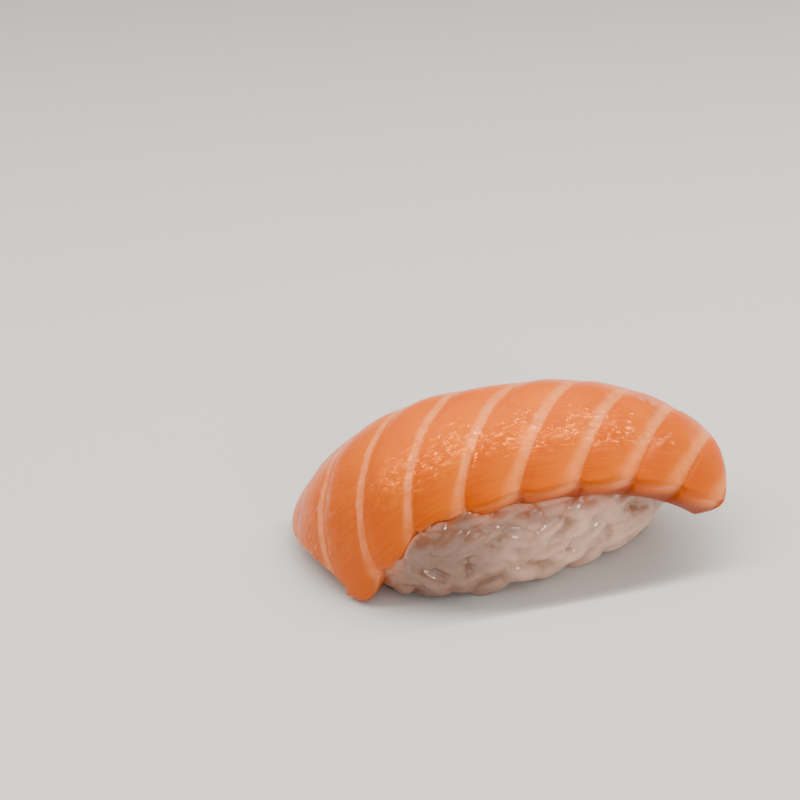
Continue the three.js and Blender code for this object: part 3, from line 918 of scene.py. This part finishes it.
def flesh_colour(tree, at, fibres):
    """Bands that start deep beside each fat line and pale towards the next, varied by fibres and
    broad clouds, with the fat over them. Painted shade darkens the front half over the bands' own
    colour and makes the left end browner. The cut side is darkened with painted shade, and a painted
    highlight runs along its upper edge."""
    paling = ramp(tree, at.through, 0.15, 0.98)
    front = mix(tree, paling, FRONT_DEEP_SHADED, FRONT_PALE_SHADED)
    back = mix(tree, paling, BACK_DEEP, BACK_PALE)
    # Painted shade: towards the front the muscle goes over to the darker front colours.
    muscle = mix(tree, ramp(tree, at.across, 0.0, -12.0), back, front)
    # Painted shade towards the left end, strongest at the front.
    left_end_shade = multiply(tree, ramp(tree, at.along, -14.0, -38.0),
                        ramp(tree, at.across, 8.0, -6.0, 0.35, 1.0))
    streaks = multiply(tree, ramp(tree, fibres, 0.40, 0.70, 0.0, 0.30),
                       ramp(tree, at.across, 6.0, -5.0, 0.25, 1.0))
    clouds = ramp(tree, noise(tree, at.place, 0.12, 2.0), 0.3, 0.7, 0.0, 0.3)
    # Painted shade down the cut side.
    cut = ramp(tree, at.cut_side, 0.05, 0.6, 0.0, 0.85)
    for share, shade in ((left_end_shade, LEFT_END_SHADED_FLESH), (streaks, STREAK), (clouds, CLOUD),
                         (cut, CUT_SIDE_SHADE)):
        muscle = mix(tree, share, muscle, shade)
    colour = mix(tree, fat_share(tree, at), muscle, mix(tree, left_end_shade, FAT, LEFT_END_SHADED_FAT))
    # A painted highlight along the upper edge of the cut side.
    rim_highlight = multiply(tree, ramp(tree, mesh_value(tree, "from_edge"), 0.35, 0.02),
                   ramp(tree, at.cut_side, 0.14, 0.06))
    rim_highlight = multiply(tree, rim_highlight, ramp(tree, at.through, 0.45, 0.95, 0.0, 0.75))
    return mix(tree, rim_highlight, colour, RIM_HIGHLIGHT)


def wet_share(tree, at):
    """How wet the surface is: most along the crest of the top, in clusters."""
    crest = multiply(tree, ramp(tree, at.across, -10.5, -7.0),
                     ramp(tree, at.across, 4.0, -2.0, 0.25, 1.0))
    crest = multiply(tree, crest, ramp(tree, at.cut_side, 0.0, 0.15, 1.0, 0.0))
    crest = multiply(tree, crest, ramp(tree, at.along, 32.0, 24.0))
    return multiply(tree, crest, ramp(tree, noise(tree, at.place, 0.25, 2.0), 0.35, 0.55, 0.4, 1.0))


def salmon_material():
    """Raw salmon: orange bands between soft-edged lines of fat, fine fibres along the slice and a
    wet surface, wrinkled along the crest into small facets that are longer along the slice than
    across it. Its gloss takes on the colour of the flesh."""
    material, tree, shader = new_material("raw_salmon")
    at = flesh_place(tree)
    fibre_place = vector(tree, multiply(tree, at.along, 0.09), at.across,
                         multiply(tree, at.cut_side, 3.0))
    fibres = noise(tree, fibre_place, 1.9, 4.0, 0.6, 0.3)
    plug(tree, flesh_colour(tree, at, fibres), shader.inputs["Base Color"])

    stray = maths(tree, "SUBTRACT", noise(tree, at.place, 0.8), 0.5)
    wrinkles = facets(tree, vector(tree, multiply(tree, at.along, 0.5),
                                   maths(tree, "MULTIPLY_ADD", stray, 1.2, at.across), 0.0), 2.1)
    wet = wet_share(tree, at)
    normal = bump(tree, multiply(tree, wrinkles, wet), 0.4 * MM)
    plug(tree, bump(tree, fibres, 0.08 * MM, 0.5, normal), shader.inputs["Normal"])
    plug(tree, maths(tree, "MULTIPLY_ADD", wet, -0.30, 0.37), shader.inputs["Roughness"])
    shader.inputs["Specular IOR Level"].default_value = 0.8
    shader.inputs["Specular Tint"].default_value = SALMON_GLOSS
    shader.inputs["Subsurface Weight"].default_value = 0.2
    shader.inputs["Subsurface Radius"].default_value = (1.0, 0.25, 0.05)
    shader.inputs["Subsurface Scale"].default_value = 2.0 * MM
    return material


def rice_material(name, toned):
    """Cooked rice: moist, half see-through off-white with whiter hearts. Painted shade darkens its
    creases, its foot, its left side and its right top, and painted light makes its right side paler.
    Where the heap meets the slice it is stained by the fish, with painted shade and painted orange
    bounce light over the stain. Toned rice differs from grain to grain."""
    material, tree, shader = new_material(name)
    scaled = tree.nodes.new("ShaderNodeMapping")
    scaled.inputs["Scale"].default_value = (1 / MM, 1 / MM, 1 / MM)
    plug(tree, tree.nodes.new("ShaderNodeTexCoord").outputs["Object"], scaled.inputs["Vector"])
    place = scaled.outputs["Vector"]
    parts = tree.nodes.new("ShaderNodeSeparateXYZ")
    plug(tree, place, parts.inputs[0])
    x, z = parts.outputs["X"], parts.outputs["Z"]
    cloud = noise(tree, place, 0.30)
    speck = noise(tree, place, 1.5)
    near = mesh_value(tree, "under_slice")

    colour = mix(tree, ramp(tree, cloud, 0.3, 0.7), RICE_CLEAR, RICE_HEART)
    shades = [
        # Painted shade where the skin lies in from the heap's plain side, in its creases.
        (ramp(tree, mesh_value(tree, "relief"), 1.0, -0.1, 0.0, 0.85), RICE_CREASE_SHADE),
        # Painted shade towards the table.
        (ramp(tree, z, 6.0, 0.0, 0.0, 0.5), RICE_FOOT_SHADE),
        # Painted light towards the right.
        (ramp(tree, x, -2.0, 14.0, 0.0, 0.55), RICE_RIGHT_LIGHT),
        # Painted shade towards the left.
        (ramp(tree, x, 4.0, -16.0, 0.0, 0.9), RICE_LEFT_SHADE),
        # Painted shade high up on the right.
        (multiply(tree, ramp(tree, z, 4.0, 11.0), ramp(tree, x, 10.0, 21.0, 0.0, 0.8)),
         RICE_RIGHT_TOP_SHADE),
        # Stain from the fish, with painted shade and painted bounce light, near the slice.
        (ramp(tree, near, 0.05, 0.85, 0.0, 0.9), RICE_UNDER_SLICE_STAIN_AND_SHADE),
        (ramp(tree, near, 0.55, 0.95, 0.0, 0.8), RICE_AT_SLICE_STAIN_AND_BOUNCE),
    ]
    if toned:
        shades.insert(0, (ramp(tree, mesh_value(tree, "grain_tone"), 0.0, 1.0, 0.0, 0.3), RICE_TONE))
    for share, shade in shades:
        colour = mix(tree, share, colour, shade)
    plug(tree, colour, shader.inputs["Base Color"])

    normal = bump(tree, speck, 0.14 * MM, 0.35)
    plug(tree, normal, shader.inputs["Normal"])
    wet_skin = bump(tree, facets(tree, place, 0.9), 0.3 * MM, 1.0, normal)
    plug(tree, wet_skin, shader.inputs["Coat Normal"])
    plug(tree, ramp(tree, cloud, 0.3, 0.7, 0.30, 0.42), shader.inputs["Roughness"])
    plug(tree, ramp(tree, speck, 0.3, 0.7, 0.5, 1.0), shader.inputs["Coat Weight"])
    shader.inputs["Coat Roughness"].default_value = 0.1
    shader.inputs["Coat IOR"].default_value = 1.6
    shader.inputs["Specular IOR Level"].default_value = 0.5
    shader.inputs["Subsurface Weight"].default_value = 0.6
    shader.inputs["Subsurface Radius"].default_value = (1.0, 0.7, 0.5)
    shader.inputs["Subsurface Scale"].default_value = 1.8 * MM
    return material


def floor_material():
    """The plain pale table."""
    material, _, shader = new_material("pale_floor")
    shader.inputs["Base Color"].default_value = FLOOR_COLOUR
    shader.inputs["Roughness"].default_value = 0.7
    return material


# ---------------------------------------------------------------- the table, the lights, the camera

def build_floor():
    """A flat sheet under the part, wide enough to fill the view."""
    points = FLOOR_REACH * np.array([[-1, -1, 0], [1, -1, 0], [1, 1, 0], [-1, 1, 0]])
    floor = new_mesh("floor", points, np.array([[0, 1, 2, 3]]))
    floor.data.materials.append(floor_material())


def aim(thing, place, target):
    """Puts a light at a place, in millimetres, facing a target that isn't straight below it."""
    away = unit(np.array(place, float) - np.array(target, float))
    side = unit(np.cross([0.0, 0.0, 1.0], away))
    turn = Matrix(np.stack([side, np.cross(away, side), away], axis=1).tolist()).to_4x4()
    turn.translation = [value * MM for value in place]
    thing.matrix_world = turn


def soft_light(name, place, target, size, power, colour):
    """A flat rectangular lamp, its size in millimetres and its power in watts."""
    lamp = bpy.data.lights.new(name, "AREA")
    lamp.shape = "RECTANGLE"
    lamp.size, lamp.size_y = size[0] * MM, size[1] * MM
    lamp.energy = power
    lamp.color = colour
    holder = bpy.data.objects.new(name, lamp)
    bpy.context.scene.collection.objects.link(holder)
    aim(holder, place, target)


def room_light(name, place, width, strength, colour):
    """Light from far off all round a direction, as from a bright ceiling, width degrees wide."""
    lamp = bpy.data.lights.new(name, "SUN")
    lamp.angle = np.radians(width)
    lamp.energy = strength
    lamp.color = colour
    holder = bpy.data.objects.new(name, lamp)
    bpy.context.scene.collection.objects.link(holder)
    aim(holder, place, (0, 0, 0))


def light_scene():
    """A long strip overhead that draws the glints along the crest, soft light from all round
    above, a weak light from the front and a small one that sparks in the wet rice."""
    soft_light("strip_light", place=(0, 45, 400), target=(0, 0, 15), size=(1150, 14), power=4.4,
               colour=(1.0, 0.94, 0.85))
    room_light("room_light", place=(-60, 100, 460), width=100.0, strength=1.9,
               colour=(1.0, 0.97, 0.93))
    soft_light("front_light", place=(200, -240, 260), target=(0, 0, 10), size=(320, 220), power=0.4,
               colour=(1.0, 0.97, 0.94))
    soft_light("spark_light", place=(70, -390, 190), target=(0, 0, 10), size=(60, 50), power=0.4,
               colour=(1.0, 0.95, 0.88))
    world = bpy.data.worlds.new("studio")
    world.use_nodes = True
    tree = world.node_tree
    background = tree.nodes["Background"]
    background.inputs["Color"].default_value = SKY_COLOUR
    seen = tree.nodes.new("ShaderNodeLightPath").outputs["Is Camera Ray"]
    plug(tree, maths(tree, "MULTIPLY_ADD", seen, SKY_SEEN_EXTRA, SKY_STRENGTH),
         background.inputs["Strength"])
    bpy.context.scene.world = world


def add_camera():
    """A 58.5 mm lens looking down at 32 degrees from the front left. The spot of table below the
    part's middle lies right of and below the middle of the picture."""
    turn, tilt = np.radians(CAMERA_TURN), np.radians(CAMERA_TILT)
    right = np.array([np.cos(turn), np.sin(turn), 0.0])
    ahead = np.array([-np.sin(turn) * np.cos(tilt), np.cos(turn) * np.cos(tilt), -np.sin(tilt)])
    up = np.array([-np.sin(turn) * np.sin(tilt), np.cos(turn) * np.sin(tilt), np.cos(tilt)])
    across = (SPOT_RIGHT - PICTURE_PIXELS / 2) / FOCAL_PIXELS
    down = (SPOT_DOWN - PICTURE_PIXELS / 2) / FOCAL_PIXELS
    to_spot = CAMERA_DISTANCE * (across * right - down * up + ahead)
    place = -to_spot - np.array([CENTRE_X, CENTRE_Y, 0.0])
    lens = bpy.data.cameras.new("camera")
    lens.sensor_width = SENSOR_WIDTH
    lens.lens = FOCAL_PIXELS / PICTURE_PIXELS * SENSOR_WIDTH
    lens.clip_start, lens.clip_end = 0.01, 20.0
    camera = bpy.data.objects.new("camera", lens)
    bpy.context.scene.collection.objects.link(camera)
    pose = Matrix(np.stack([right, up, -ahead], axis=1).tolist()).to_4x4()
    pose.translation = [value * MM for value in place]
    camera.matrix_world = pose
    bpy.context.scene.camera = camera


def finish_piece(piece, material, node):
    """Gives a piece its material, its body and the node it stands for."""
    piece.data.materials.clear()
    piece.data.materials.append(material)
    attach(piece, "root")
    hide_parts(node)


add_camera()
light_scene()
build_floor()
finish_piece(build_slice(), salmon_material(), "salmon_slice")
loose_grains, fused_grains = build_rice()
finish_piece(loose_grains, rice_material("loose_rice", True), "rice")
finish_piece(fused_grains, rice_material("fused_rice", False), "rice")
